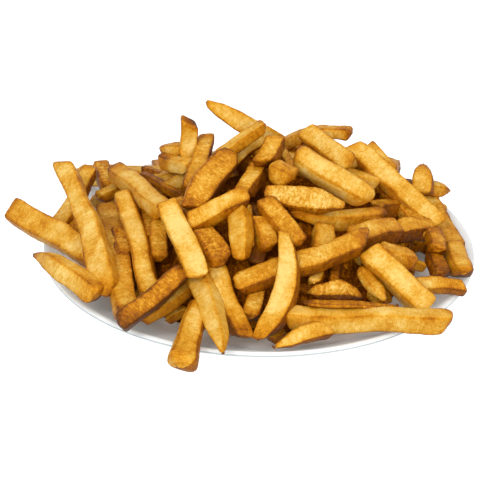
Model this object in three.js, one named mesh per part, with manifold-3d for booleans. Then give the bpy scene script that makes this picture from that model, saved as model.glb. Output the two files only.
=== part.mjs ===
// A portion of french fries heaped on a round shallow plate.
// Millimetres, +Z up. The origin is the middle of the plate's flat base, and the serving side faces -Y.
import * as THREE from "three";
import { mergeVertices } from "three/addons/utils/BufferGeometryUtils.js";
import Module from "manifold-3d";

const wasm = await Module();
wasm.setup();

// ---- Driving dimensions ----

const PLATE_RADIUS = 130;
const PLATE_HEIGHT = 21;
const WELL_RADIUS = 80; // the flat middle of the plate
const FLOOR_THICKNESS = 5;
const LIP_RADIUS = 1.5; // the rim ends in a half-round lip
const RIM_CURVE = 1.75; // power of the rise from the well to the lip
const RIM_STATIONS = [0.2, 0.4, 0.58, 0.74, 0.88]; // rings on the rim, as shares of its breadth
const LIP_TURNS = [-90, -45, 0, 45, 90]; // degrees round the lip
const PLATE_SIDES = 48;
const GAP = 0.3; // air left between the food and the plate

// The mound is the surface that runs through the middles of the outer fries.
const MOUND_CENTRE_X = 4;
const MOUND_CENTRE_Y = 8;
const MOUND_RADIUS = 130;
const MOUND_BACK_RADIUS = 114;
const MOUND_FOOT = 27;
const MOUND_RISE = 53;
const MOUND_FULLNESS = 0.62; // below 1 the top is broad and the foot steep

// The back slope falls away from a ridge that is highest near the middle.
const RIDGE_HEIGHT = 80;
const RIDGE_X = 16;
const RIDGE_DROP = 43; // lost by RIDGE_HALF_WIDTH to either side
const RIDGE_HALF_WIDTH = 95;
const RIDGE_CURVE = 2.2;
const BACK_SLOPE = 0.394;

const CORE_DEPTH = 10; // the core lies this far below the mound
const CORE_RADIUS = 108;
const CORE_GAP = 1; // from the plate up to the core
const CORE_EDGE = 2; // least height of the core
const CORE_SIDES = 28;
const CORE_RINGS = 6;

const EDGE_CUT = 0.28; // chamfer on a fry's long edges, as a share of its half width
const FRY_SIDES = 8;
const STREWN_SIDES = 4;
const BOW_STATIONS = [0.3, 0.6]; // extra rings that a bowed fry gets, as shares of its length

// How wide a fry is along its length: pairs of a share of the length and a share of the full width.
const KINDS = {
  bar: [[0, 0.86], [0.06, 1], [0.94, 1], [1, 0.86]],
  blunt: [[0, 0.86], [0.06, 1], [0.8, 1.03], [0.95, 0.9], [1, 0.7]],
  roundEnded: [[0, 0.7], [0.08, 0.95], [0.3, 1], [0.85, 0.98], [1, 0.7]],
  spear: [[0, 0.25], [0.3, 0.8], [0.55, 1], [0.94, 1], [1, 0.86]],
  spearEnd: [[0, 0.86], [0.06, 1], [0.5, 1], [0.8, 0.7], [1, 0.2]],
  taper: [[0, 0.9], [0.06, 1], [0.5, 1], [0.85, 0.75], [1, 0.55]],
  slightTaper: [[0, 0.95], [0.06, 1.08], [0.5, 1], [0.94, 0.95], [1, 0.75]],
  lens: [[0, 0.55], [0.15, 0.8], [0.4, 1], [0.7, 0.92], [1, 0.3]],
  club: [[0, 0.9], [0.3, 0.78], [0.6, 0.92], [0.85, 1.12], [0.95, 0.95], [1, 0.6]],
  flared: [[0, 0.85], [0.06, 0.9], [0.6, 0.95], [0.92, 1.1], [1, 0.95]],
  horn: [[0, 0.45], [0.15, 0.75], [0.5, 1], [0.85, 1], [1, 0.6]],
  pointed: [[0, 0.35], [0.18, 0.8], [0.45, 1], [0.8, 1], [1, 0.75]],
  crescent: [[0, 0.25], [0.15, 0.65], [0.5, 1], [0.85, 0.65], [1, 0.25]],
  leaf: [[0, 0.5], [0.15, 0.85], [0.45, 1], [0.8, 0.9], [1, 0.6]],
  sliver: [[0, 0.4], [0.15, 1], [0.7, 0.9], [1, 0.3]],
};

// The fries that lie on the outside, each placed by hand. A row holds: kind, the middles of its two ends,
// width, thickness, roll in degrees, and how far its middle bows to its side and upwards.

const FRONT_RIGHT = [
  ["bar", [16, -105, 27], [99, -107, 28], 10, 11], // the long one across the rim
  ["spear", [9, -124, 21], [37, -109, 23], 8.5, 6, -40, 0, 2],
  ["sliver", [23, -101, 34], [72, -101, 33], 5.5, 2.5, 0, 1, 0],
  ["crescent", [27, -88, 32], [56, -86, 29], 10, 8, -35, 0, 2],
  ["bar", [33, -69, 36], [30, -83, 35], 7.5, 6.5],
  ["bar", [44, -62, 35], [40, -82, 31], 6, 6],
  ["bar", [60, -66, 45], [89, -94, 28], 13.5, 11.5, -28],
  ["sliver", [56, -71, 39], [67, -94, 31], 9, 5.5, 10],
  ["blunt", [66, -60, 43], [86, -59, 37], 11, 10],
  ["bar", [82, -49, 30], [95, -47, 26], 5.5, 5.5],
  ["bar", [101, -26, 37], [101, -44, 35], 9, 8, 10],
  ["bar", [101, -35, 29], [103, -58, 27], 9.5, 8.5],
  ["blunt", [113, -27, 29], [115, -57, 28], 12, 11],
  ["bar", [77, -68, 24], [114, -68, 25], 8, 7.5, -30],
];

const RIGHT_SIDE = [
  ["bar", [50, -58, 48], [78, -38, 44], 11.5, 10.5, -22],
  ["bar", [79, -32, 41], [101, -18, 36], 10.5, 9, -22, 0, 1],
  ["bar", [68, -19, 47], [92, 16, 34], 10.5, 10.5],
  ["slightTaper", [55, 18, 71], [106, -13, 37], 11.5, 9.5, -35], // the long one down the right slope
  ["bar", [68, 40, 63], [82, 23, 53], 8, 7, -10],
  ["bar", [86, 50, 44], [85, 45, 37], 3.5, 3.5],
  ["bar", [84, 44, 33], [102, 58, 29], 7, 7],
  ["spear", [104, 45, 50], [101, 25, 38], 13, 10.5],
  ["spear", [122, 40, 34], [106, 36, 38], 10, 8],
  ["bar", [108, 43, 28], [116, -29, 27], 11.5, 10.5, -10],
];

const RIGHT_TOP = [
  ["bar", [28, 24, 78], [53, -5, 70], 11.5, 9.5, -35],
  ["bar", [12, 33, 64], [55, 27, 77], 9, 7.5, 0, 0, 4],
  ["roundEnded", [20, -11, 79], [63, -30, 59], 14, 12, -32], // the broad one above the middle
  ["bar", [12, 4, 74], [20, -16, 70], 5.5, 5.5],
  ["bar", [9, -5, 84], [1, -22, 76], 12, 10.5],
  ["roundEnded", [6, -27, 76], [19, -33, 73], 12.5, 12],
  ["lens", [3, -39, 67], [47, -43, 61], 13.5, 10, -35],
  ["spear", [17, -47, 58], [69, -29, 49], 10, 11, 0, 0, -3],
  ["bar", [3, -45, 63], [22, -68, 50], 10.5, 9.5, -20],
  ["blunt", [-1, -50, 55], [6, -69, 47], 10.5, 9.5],
  ["bar", [-7, -36, 57], [3, -48, 52], 5.5, 5.5],
  ["taper", [-11, -52, 61], [-9, -80, 46], 11.5, 9, -38],
  ["bar", [-7, -42, 60], [-4, -68, 47], 4.5, 4.5],
  ["bar", [35, -46, 49], [34, -64, 42], 11.5, 10, 20],
];

const FRONT_MIDDLE = [
  ["bar", [-11, -87, 34], [58, -65, 52], 12.5, 10.5, -20], // the long one across the front
  ["horn", [13, -69, 58], [1, -117, 21], 11.5, 8.5, -8, -8, 0],
  ["bar", [1, -58, 43], [-1, -73, 39], 9, 9],
  ["bar", [1, -81, 30], [-4, -99, 22], 9.5, 8.5, 10],
  ["bar", [6, -110, 17], [15, -104, 17], 6, 6],
  ["bar", [-51, -49, 63], [-31, -93, 43], 12.5, 9.5, -15],
  ["spearEnd", [-33, -80, 37], [-16, -139, 27], 11.5, 9.5, -45, -2, 0],
  ["bar", [-26, -70, 40], [-7, -115, 21], 10, 8, 5],
  ["blunt", [-32, -60, 51], [-19, -79, 43], 12.5, 10],
  ["bar", [-56, -37, 46], [-54, -64, 36], 9.5, 9.5],
  ["bar", [-69, -121, 31], [-40, -85, 41], 10, 8.5, -38],
  ["bar", [-60, -104, 23], [-36, -83, 30], 6.5, 6.5],
  ["bar", [-48, -97, 18], [-37, -90, 20], 5, 5],
  ["flared", [-30, -96, 29], [-36, -147, 24], 13, 10.5, 12], // the end that hangs over the rim
];

const LEFT_SIDE = [
  ["club", [-118, 5, 62], [-78, -90, 29], 13.5, 11.5, -40, -2, 0], // the longest one
  ["bar", [-148, -7, 36], [-88, -58, 32], 14.5, 9.5, -40],
  ["bar", [-94, 2, 35], [-66, -109, 27], 13, 9],
  ["spear", [-127, -49, 29], [-84, -91, 29], 11.5, 11, 20, 0, 4],
  ["bar", [-107, 30, 47], [-122, -7, 24], 11, 9.5],
  ["bar", [-103, 45, 44], [-94, 20, 40], 9.5, 8.5],
  ["bar", [-80, 31, 42], [-99, 9, 38], 8.5, 8],
  ["bar", [-91, 24, 50], [-53, -42, 54], 11, 10, -10],
  ["bar", [-75, 35, 47], [-43, 8, 48], 4.5, 4.5],
  ["bar", [-74, 20, 49], [-44, -10, 49], 6, 6],
  ["bar", [-81, -10, 49], [-55, -92, 29], 11.5, 10.5, -10],
  ["bar", [-84, 3, 35], [-76, -39, 27], 7.5, 7.5],
  ["bar", [-66, -14, 45], [-61, -46, 39], 8, 8],
];

const LEFT_TOP = [
  ["pointed", [-33, 15, 99], [12, 13, 76], 8, 11, 20], // the one that points up
  ["bar", [2, 0, 92], [-25, -11, 75], 9, 6.5],
  ["bar", [-1, 11, 79], [-22, -10, 71], 12, 9.5, 40],
  ["blunt", [-43, 10, 90], [-43, 6, 67], 10, 8.5],
  ["leaf", [-61, 25, 64], [-42, 11, 71], 10.5, 8],
  ["bar", [-60, 16, 62], [-41, -6, 67], 9.5, 8.5],
  ["bar", [-33, 18, 75], [-40, -30, 63], 9, 8.5],
  ["leaf", [-17, -13, 80], [-38, -49, 61], 17, 10.5, 28],
  ["bar", [-1, -17, 71], [-9, -37, 64], 10, 8.5],
  ["bar", [-7, -48, 69], [-39, -57, 55], 11, 9, 40],
];

// Fries strewn by rule over the back slope.
const BACK = {
  count: 26, seed: 7, angles: [-8, 188], radii: [26, 104], lift: [-7, -2],
  lengths: [44, 78], widths: [10, 13],
};
const GOLDEN_SHARE = 0.618034; // of a turn, spreads the strewn fries evenly
const SQUARENESS = 0.9; // thickness of a strewn fry over its width
const END_LIFT = 0.6; // the middle of a strewn end is this share of its thickness above the plate

// ---- Surfaces ----

// 0 at the edge of the well, 1 where the lip begins.
function rimShare(radius) {
  return Math.max(0, (radius - WELL_RADIUS) / (PLATE_RADIUS - LIP_RADIUS - WELL_RADIUS));
}

function plateTop(radius) {
  const share = Math.min(1, rimShare(radius));
  return FLOOR_THICKNESS + (PLATE_HEIGHT - FLOOR_THICKNESS) * share ** RIM_CURVE;
}

function plateUnderside(radius) {
  return (PLATE_HEIGHT - 2 * LIP_RADIUS) * rimShare(radius) ** RIM_CURVE;
}

function moundHeight(x, y) {
  const backwards = y > MOUND_CENTRE_Y ? MOUND_RADIUS / MOUND_BACK_RADIUS : 1;
  const reach = Math.hypot(x - MOUND_CENTRE_X, (y - MOUND_CENTRE_Y) * backwards) / MOUND_RADIUS;
  const fall = 0.5 * (1 + Math.cos(Math.PI * Math.min(1, reach)));
  return MOUND_FOOT + MOUND_RISE * fall ** MOUND_FULLNESS;
}

function backSlopeHeight(x, y) {
  const aside = Math.abs(x - RIDGE_X) / RIDGE_HALF_WIDTH;
  return RIDGE_HEIGHT - RIDGE_DROP * aside ** RIDGE_CURVE - BACK_SLOPE * y;
}

function heapHeight(x, y) {
  return Math.min(moundHeight(x, y), backSlopeHeight(x, y));
}

// ---- Solids ----

function solidFrom(geometry) {
  geometry.deleteAttribute("normal");
  geometry.deleteAttribute("uv");
  const merged = mergeVertices(geometry, 1e-3);
  return new wasm.Manifold(
    new wasm.Mesh({
      numProp: 3,
      vertProperties: merged.attributes.position.array,
      triVerts: new Uint32Array(merged.index.array),
    }),
  );
}

function geometryFrom(solid) {
  const mesh = solid.getMesh();
  const geometry = new THREE.BufferGeometry();
  geometry.setAttribute("position", new THREE.BufferAttribute(mesh.vertProperties, mesh.numProp));
  geometry.setIndex(new THREE.BufferAttribute(mesh.triVerts, 1));
  geometry.computeVertexNormals();
  return geometry;
}

// A lathe about Z. The profile runs from the axis, outwards and back, anticlockwise seen from the front.
function lathed(profile, sides) {
  return new THREE.LatheGeometry(profile, sides).rotateX(Math.PI / 2);
}

// The plate's section, grown by a margin on its upper side and round its lip.
function plateProfile(margin) {
  const lipCentre = new THREE.Vector2(PLATE_RADIUS - LIP_RADIUS, PLATE_HEIGHT - LIP_RADIUS);
  const radii = RIM_STATIONS.map((share) => WELL_RADIUS + share * (lipCentre.x - WELL_RADIUS));
  const under = radii.map((radius) => new THREE.Vector2(radius, plateUnderside(radius)));
  const lip = LIP_TURNS.map((degrees) => {
    const turn = THREE.MathUtils.degToRad(degrees);
    const out = new THREE.Vector2(Math.cos(turn), Math.sin(turn));
    return out.multiplyScalar(LIP_RADIUS + margin).add(lipCentre);
  });
  const top = radii.map((radius) => new THREE.Vector2(radius, plateTop(radius) + margin));
  return [
    new THREE.Vector2(0, 0),
    new THREE.Vector2(WELL_RADIUS, 0),
    ...under,
    ...lip,
    ...top.reverse(),
    new THREE.Vector2(WELL_RADIUS, FLOOR_THICKNESS + margin),
    new THREE.Vector2(0, FLOOR_THICKNESS + margin),
  ];
}

// The width share of a kind at a share of its length.
function widthShare(stations, share) {
  const next = Math.max(1, stations.findIndex(([at]) => at >= share));
  const [from, fromWidth] = stations[next - 1];
  const [to, toWidth] = stations[next];
  return fromWidth + ((toWidth - fromWidth) * (share - from)) / (to - from);
}

// One fry: a cylinder with few sides, whose rings are squared off and laid from one end to the other.
function fry(kind, from, to, width, thickness, roll = 0, bowSide = 0, bowUp = 0, sides = FRY_SIDES) {
  const start = new THREE.Vector3(...from);
  const length = new THREE.Vector3(...to).sub(start);
  const along = length.clone().normalize();
  const across = new THREE.Vector3().crossVectors(along, new THREE.Vector3(0, 0, 1)).normalize();
  const up = new THREE.Vector3().crossVectors(across, along);
  const widthWay = across.clone().applyAxisAngle(along, THREE.MathUtils.degToRad(-roll));
  const thicknessWay = up.clone().applyAxisAngle(along, THREE.MathUtils.degToRad(-roll));
  const bowed = bowSide !== 0 || bowUp !== 0;
  const shares = KINDS[kind].map(([share]) => share).concat(bowed ? BOW_STATIONS : []);
  const stations = [...new Set(shares)].sort((a, b) => a - b);
  const rings = stations.length - 1;
  const shape = new THREE.CylinderGeometry(1, 1, 1, sides, rings, false, Math.PI / sides);
  const points = shape.attributes.position;
  for (let i = 0; i < points.count; i += 1) {
    const share = stations[Math.round((0.5 + points.getY(i)) * rings)];
    const size = 0.5 * widthShare(KINDS[kind], share);
    const bow = 4 * share * (1 - share);
    const [u, v] = squaredOff(points.getX(i), points.getZ(i));
    const place = start.clone().addScaledVector(length, share);
    place.addScaledVector(across, bow * bowSide).addScaledVector(up, bow * bowUp);
    place.addScaledVector(widthWay, u * size * width).addScaledVector(thicknessWay, v * size * thickness);
    points.setXYZ(i, place.x, place.y, place.z);
  }
  return solidFrom(shape);
}

// Moves a corner of a regular section onto a square with cut corners. Middles stay where they are.
function squaredOff(x, z) {
  if (Math.hypot(x, z) < 0.5) return [0, 0];
  const flat = 1 - EDGE_CUT;
  const even = Math.abs(Math.abs(x) - Math.abs(z)) < 0.1;
  const u = even || Math.abs(x) > Math.abs(z) ? 1 : flat;
  const v = even || Math.abs(z) > Math.abs(x) ? 1 : flat;
  return [Math.sign(x) * u, Math.sign(z) * v];
}

// The heap's inside, from just above the plate to CORE_DEPTH below the outer fries.
function core() {
  const profile = [new THREE.Vector2(0, 0)];
  for (let ring = 1; ring <= CORE_RINGS; ring += 1) {
    profile.push(new THREE.Vector2((CORE_RADIUS * ring) / CORE_RINGS, 0));
  }
  for (let ring = CORE_RINGS; ring >= 0; ring -= 1) {
    profile.push(new THREE.Vector2((CORE_RADIUS * ring) / CORE_RINGS, 1));
  }
  const shape = lathed(profile, CORE_SIDES);
  const points = shape.attributes.position;
  for (let i = 0; i < points.count; i += 1) {
    const [x, y] = [points.getX(i), points.getY(i)];
    const floor = plateTop(Math.hypot(x, y)) + CORE_GAP;
    const height = Math.max(floor + CORE_EDGE, heapHeight(x, y) - CORE_DEPTH);
    points.setZ(i, points.getZ(i) > 0.5 ? height : floor);
  }
  return solidFrom(shape);
}

function seededRandom(seed) {
  let state = seed;
  return () => {
    state = (state * 16807) % 2147483647;
    return state / 2147483647;
  };
}

// Fries strewn evenly over a ring sector of the heap, lying along its surface.
function strewn({ count, seed, angles, radii, lift, lengths, widths }) {
  const random = seededRandom(seed);
  const between = ([low, high]) => low + (high - low) * random();
  const fries = [];
  for (let i = 0; i < count; i += 1) {
    const angle = angles[0] + (angles[1] - angles[0]) * ((i * GOLDEN_SHARE) % 1);
    const reach = Math.sqrt(radii[0] ** 2 + ((radii[1] ** 2 - radii[0] ** 2) * (i + 0.5)) / count);
    const x = MOUND_CENTRE_X + reach * Math.cos(THREE.MathUtils.degToRad(angle));
    const y = MOUND_CENTRE_Y + reach * Math.sin(THREE.MathUtils.degToRad(angle));
    const heading = Math.PI * random();
    const half = 0.5 * between(lengths);
    const width = between(widths);
    const thickness = width * SQUARENESS;
    const rise = between(lift);
    const ends = [-half, half].map((step) => {
      const endX = x + step * Math.cos(heading);
      const endY = y + step * Math.sin(heading);
      const lowest = plateTop(Math.hypot(endX, endY)) + END_LIFT * thickness + GAP;
      return [endX, endY, Math.max(lowest, heapHeight(endX, endY) + rise)];
    });
    fries.push(fry("bar", ends[0], ends[1], width, thickness, 0, 0, 0, STREWN_SIDES));
  }
  return fries;
}

// All the fries joined to the core, clear of the plate. Sealed hollows and loose scraps are left out.
function friesHeap() {
  const placed = [FRONT_RIGHT, RIGHT_SIDE, RIGHT_TOP, FRONT_MIDDLE, LEFT_SIDE, LEFT_TOP].flat();
  const pieces = [...placed.map((row) => fry(...row)), ...strewn(BACK)];
  const joined = pieces.reduce((heap, piece) => heap.add(piece), core());
  const clear = joined.subtract(solidFrom(lathed(plateProfile(GAP), PLATE_SIDES)));
  const bodies = clear.decompose().sort((a, b) => b.volume() - a.volume());
  return geometryFrom(bodies[0]);
}

// ---- The part ----

const glaze = new THREE.MeshStandardMaterial({ color: 0xf2f5f8, roughness: 0.15, metalness: 0 });
const friedPotato = new THREE.MeshStandardMaterial({ color: 0xe3ab4a, roughness: 0.55, metalness: 0 });

const plate = new THREE.Mesh(lathed(plateProfile(0), PLATE_SIDES), glaze);
plate.name = "plate";
const heap = new THREE.Mesh(friesHeap(), friedPotato);
heap.name = "fries_heap";

const portion = new THREE.Group();
portion.add(plate, heap);
export default portion;
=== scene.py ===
"""A portion of french fries heaped on a round shallow plate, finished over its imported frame."""

import math
from collections import namedtuple

import bmesh
import bpy
import numpy as np
from mathutils import Matrix, Vector, noise


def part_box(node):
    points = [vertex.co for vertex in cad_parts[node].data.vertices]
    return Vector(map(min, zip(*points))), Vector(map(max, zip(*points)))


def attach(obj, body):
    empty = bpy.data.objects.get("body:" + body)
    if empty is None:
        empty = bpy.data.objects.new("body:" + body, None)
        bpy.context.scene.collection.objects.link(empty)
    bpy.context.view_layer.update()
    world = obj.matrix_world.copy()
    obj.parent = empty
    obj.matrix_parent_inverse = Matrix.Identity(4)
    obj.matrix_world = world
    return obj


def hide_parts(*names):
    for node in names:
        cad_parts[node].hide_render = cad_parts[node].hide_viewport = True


bl_info = {
    "name": "French fries portion",
    "version": (1, 0, 0),
    "blender": (4, 5, 0),
    "location": "3D View > Sidebar > Fries",
    "description": "Builds a heap of french fries on a plate, with its stage",
    "category": "Object",
}

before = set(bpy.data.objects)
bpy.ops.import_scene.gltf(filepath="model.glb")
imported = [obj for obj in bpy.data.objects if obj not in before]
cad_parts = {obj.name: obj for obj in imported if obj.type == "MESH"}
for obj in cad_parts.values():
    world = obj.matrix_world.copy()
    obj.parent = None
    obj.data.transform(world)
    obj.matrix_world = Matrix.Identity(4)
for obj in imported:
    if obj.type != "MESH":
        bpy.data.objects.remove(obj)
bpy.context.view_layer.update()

MM = 0.001

# ---- Sizes in millimetres ----

PLATE_RADIUS, _, PLATE_HEIGHT = (float(size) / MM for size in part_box("plate")[1])
WELL_RADIUS = 80.0  # the flat middle of the plate
FLOOR_THICKNESS = 5.0
LIP_RADIUS = 1.5  # the rim ends in a half-round lip
RIM_CURVE = 1.75  # power of the rise from the well to the lip
RIM_RINGS = 15
LIP_RINGS = 9
WELL_RINGS = (1.0, 0.8, 0.4, 0.1)  # shares of its radius
FOOT_RING = 0.9
MERGE_DISTANCE = 1e-6  # metres
PLATE_SIDES = 144
PLATE_CREASE = math.radians(50)  # a fold sharper than this stays sharp
LIP_LINE = 0.6  # breadth of the thin grey line round the outside of the lip
LIP_LINE_HEIGHT = 19.5
WARM_RADIUS = 104.0  # inside this the glaze is warmer, painted warm light bounced from the food onto it
COOL_RADIUS = 121.0  # and outside this it is cool

# The mound is the surface that runs through the middles of the outer fries.
MOUND_CENTRE = (4.0, 8.0)
MOUND_RADIUS = 130.0
MOUND_BACK_RADIUS = 114.0
MOUND_FOOT = 27.0
MOUND_RISE = 53.0
MOUND_FULLNESS = 0.62  # below 1 the top is broad and the foot steep

# The back slope falls away from a ridge that is highest near the middle.
RIDGE_HEIGHT = 80.0
RIDGE_X = 16.0
RIDGE_DROP = 43.0  # lost by RIDGE_HALF_WIDTH to either side
RIDGE_HALF_WIDTH = 95.0
RIDGE_CURVE = 2.2
BACK_SLOPE = 0.394

# How wide a fry is along its length: pairs of a share of the length and a share of the full width.
KINDS = {
    "bar": ((0, 0.9), (0.06, 1), (0.94, 1), (1, 0.9)),
    "blunt": ((0, 0.88), (0.06, 1), (0.8, 1.03), (0.95, 0.9), (1, 0.75)),
    "round_ended": ((0, 0.72), (0.08, 0.95), (0.3, 1), (0.85, 0.98), (1, 0.72)),
    "spear": ((0, 0.2), (0.3, 0.8), (0.55, 1), (0.94, 1), (1, 0.88)),
    "spear_end": ((0, 0.88), (0.06, 1), (0.5, 1), (0.8, 0.7), (1, 0.15)),
    "taper": ((0, 0.9), (0.06, 1), (0.5, 1), (0.85, 0.75), (1, 0.55)),
    "slight_taper": ((0, 0.95), (0.06, 1.08), (0.5, 1), (0.94, 0.95), (1, 0.75)),
    "lens": ((0, 0.5), (0.15, 0.8), (0.4, 1), (0.7, 0.92), (1, 0.3)),
    "club": ((0, 0.9), (0.3, 0.78), (0.6, 0.92), (0.85, 1.12), (0.95, 0.95), (1, 0.55)),
    "flared": ((0, 0.85), (0.06, 0.9), (0.6, 0.95), (0.92, 1.1), (1, 0.95)),
    "horn": ((0, 0.45), (0.15, 0.75), (0.5, 1), (0.85, 1), (1, 0.6)),
    "pointed": ((0, 0.35), (0.18, 0.8), (0.45, 1), (0.8, 1), (1, 0.75)),
    "crescent": ((0, 0.2), (0.15, 0.65), (0.5, 1), (0.85, 0.65), (1, 0.25)),
    "leaf": ((0, 0.45), (0.15, 0.85), (0.45, 1), (0.8, 0.9), (1, 0.6)),
    "sliver": ((0, 0.4), (0.15, 1), (0.7, 0.9), (1, 0.3)),
}
SOFT_EDGED_KINDS = ("round_ended", "crescent", "leaf", "sliver", "flared")
ROUND_ENDED_KINDS = ("round_ended", "flared", "club")

# How brown the faces are, from 0, barely coloured, to 1, dark brown, and how blistered they are.
LOOKS = {
    "bright": (0.05, 0.15),
    "pale": (0.13, 0.15),
    "gold": (0.19, 0.25),
    "olive": (0.22, 0.15),
    "tan": (0.28, 0.45),
    "pink": (0.42, 0.5),
    "orange": (0.32, 0.5),
    "crust": (0.36, 0.9),
    "leathery": (0.5, 0.7),
    "blistered": (0.17, 0.8),
    "brown": (0.58, 0.7),
    "dark": (0.8, 0.5),
}

# What is drawn for each fry, from the least to the most. The edges' power rounds its section: a higher
# one is sharper. Skew, taper and sink are shares of half its width, slants are slopes of its ends, and
# roll and twist are in degrees.
EDGE_BROWNNESS = (0.4, 1.1)
STRAY_ROLL = (-3, 3)
EDGE_POWER = (3.4, 6.5)
SKEW = (-0.12, 0.12)
SECTION_TAPER = (-0.08, 0.08)
SINK = (0.0, 0.07)
END_ROUND = (1.4, 3.2)
SIDE_SLANT = (-0.4, 0.4)
UNDER_SLANT = (0.05, 0.65)
TWIST = (-10, 10)
FACE_TONE = (-0.06, 0.12)
STRAY_TONE = (-0.03, 0.03)

LONG_FRY = 45.0  # a longer one is cut from the finer rod
PLUMPNESS = 1.06  # makes up for the width that rounding the edges takes
SOFT_EDGE_POWER = 2.8
SOFT_END_ROUND = 4.5
EDGE_CROWDING = 0.7  # how far the rod's cuts crowd towards its long edges
END_CROWDING = 0.75  # and towards its ends
WIDTH_SOFTNESS = 13  # hundredths of the length over which a kind's corners are smoothed
UNEVENNESS = 0.08  # of the width, in waves along the fry
UNEVEN_WAVE = 17.0
EDGE_UNEVENNESS = 0.4  # of the edges' power
EDGE_WAVE = 12.0
WANDER = 2.2  # most that a fry strays from straight
WANDER_WAVE = 32.0
END_BULGE = 0.8
SLANT_REACH = 1.2  # a slant fades away within this many widths of the end

# The skin's bumps: their size, how far they push it out on any fry and how much further on a blistered
# one, and the step from the fry's seed to theirs.
Bumps = namedtuple("Bumps", "size push crust_push seed_step")
LUMPS = Bumps(8.0, 0.32, 0.0, 0.3)
DENTS = Bumps(3.6, 0.1, 0.16, 0.5)
WRINKLES = Bumps(1.9, 0.05, 0.12, 0.6)
BLISTERS = Bumps(2.6, 0.0, 1.0, 0.9)
WRINKLE_STRETCH = (1.0, 0.4, 0.4)  # wrinkles run across the fry
BLISTER_FLOOR = 0.1  # noise below this raises no blister
BUMPY_WIDTH = 9.0  # a narrower fry has lower bumps
THIN_BUMPS = 0.3  # least share of their height, where a fry is thin

# How the brownness varies over a fry, on the same scale as its look. Some of it is painted shade.
PAINTED_SHADE_SIDE = Vector((0.3, 0.0, -0.36))  # painted shade: a fry is this much browner where it faces this way, right and down, away from the light
PALEST_FACE = -0.04  # and no face is paler than this
LUMP_TONE = 0.06
EDGE_TONE = 0.16
END_TONE = 0.1
END_TONE_REACH = 5.0
MIDDLE_TONE = -0.05
EDGE_FROM = 0.75  # share of the way out on a face where its edge begins, and the breadth of its start
EDGE_BREADTH = 0.25
RIM_FROM = 0.55  # the same for the rim of a cut end
RIM_BREADTH = 0.45
FACE_BLEND = 0.3
EDGE_FADE = 1.5  # browning of an edge fades within this many roundings of the end
TIP_REACH = 0.35  # and browning of a tip over this share of the width
TIP_EVENNESS = 0.8
TIP_UNEVENNESS = 0.6
ASLANT_SHADE = 0.25  # painted shade: browner where it is seen edge-on, towards its outline

# A draw's next state is its last one times a factor, modulo a prime.
DRAW_FACTOR = 16807
DRAW_PRIME = 2147483647
FIRST_FRY_DRAW = 1000
FRY_DRAW_STEP = 37
NOISE_STEPS = (17.31, 5.77, 11.13)  # how far apart the noises of two seeds lie
NOISE_ROW = 40.0
FIBRE_STEPS = (31.0, 7.0, 13.0)  # how far apart two fries lie in the material's patterns

# A fry lies from start to end, the middles of its two ends. roll is in degrees, bow is how far its middle
# lies to its side and upwards, tips is how brown its two ends are, and cuts is how far each end slants to
# its side and upwards, where that isn't drawn at random.
Fry = namedtuple(
    "Fry",
    "kind start end width thickness roll bow look tips cuts",
    defaults=(0, (0, 0), "gold", (0.4, 0.4), None),
)

FRONT_RIGHT = [
    Fry("bar", (16, -105, 27), (99, -107, 28), 10, 11, look="pale", tips=(0.4, 0.7)),
    Fry("spear", (9, -124, 21), (37, -109, 23), 8.5, 6, -40, (0, 2), "gold", (0.8, 0.3)),
    Fry("sliver", (23, -101, 34), (72, -101, 33), 5.5, 2.5, 0, (1, 0), "brown", (1, 0.4)),
    Fry("crescent", (27, -88, 32), (56, -86, 29), 10, 8, -35, (0, 2), "crust", (0.3, 1.2)),
    Fry("bar", (33, -69, 36), (30, -83, 35), 7.5, 6.5, look="gold", tips=(0.3, 0.2)),
    Fry("bar", (44, -62, 35), (40, -82, 31), 6, 6, look="brown", tips=(0.8, 0.9)),
    Fry("bar", (60, -66, 45), (89, -94, 28), 13.5, 11.5, -28, look="pale", tips=(0.6, 0.3)),
    Fry("sliver", (56, -71, 39), (67, -94, 31), 9, 5.5, 10, look="orange", tips=(0.8, 0.5)),
    Fry("blunt", (66, -60, 43), (86, -59, 37), 11, 10, look="tan"),
    Fry("bar", (82, -49, 30), (95, -47, 26), 5.5, 5.5, look="olive"),
    Fry("bar", (101, -26, 37), (101, -44, 35), 9, 8, 10, look="pink"),
    Fry("bar", (101, -35, 29), (103, -58, 27), 9.5, 8.5, look="brown"),
    Fry("blunt", (113, -27, 29), (115, -57, 28), 12, 11, look="gold", tips=(0.6, 0.6)),
    Fry("bar", (77, -68, 24), (114, -68, 25), 8, 7.5, -30, look="tan", tips=(0.4, 0.7)),
]

RIGHT_SIDE = [
    Fry("bar", (50, -58, 48), (78, -38, 44), 11.5, 10.5, -22, look="tan"),
    Fry("bar", (79, -32, 41), (101, -18, 36), 10.5, 9, -22, (0, 1), "tan"),
    Fry("bar", (68, -19, 47), (92, 16, 34), 10.5, 10.5, look="tan"),
    Fry("slight_taper", (55, 18, 71), (106, -13, 37), 11.5, 9.5, -35, look="gold", tips=(0.3, 0.3)),
    Fry("bar", (68, 40, 63), (82, 23, 53), 8, 7, -10),
    Fry("bar", (86, 50, 44), (85, 45, 37), 3.5, 3.5, look="brown", tips=(1, 0.4)),
    Fry("bar", (84, 44, 33), (102, 58, 29), 7, 7, look="dark"),
    Fry("spear", (104, 45, 50), (101, 25, 38), 13, 10.5, look="olive", tips=(0.8, 0.2)),
    Fry("spear", (122, 40, 34), (106, 36, 38), 10, 8, look="gold", tips=(0.9, 0.2)),
    Fry("bar", (108, 43, 28), (116, -29, 27), 11.5, 10.5, -10, look="tan", tips=(0.4, 0.8)),
]

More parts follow.
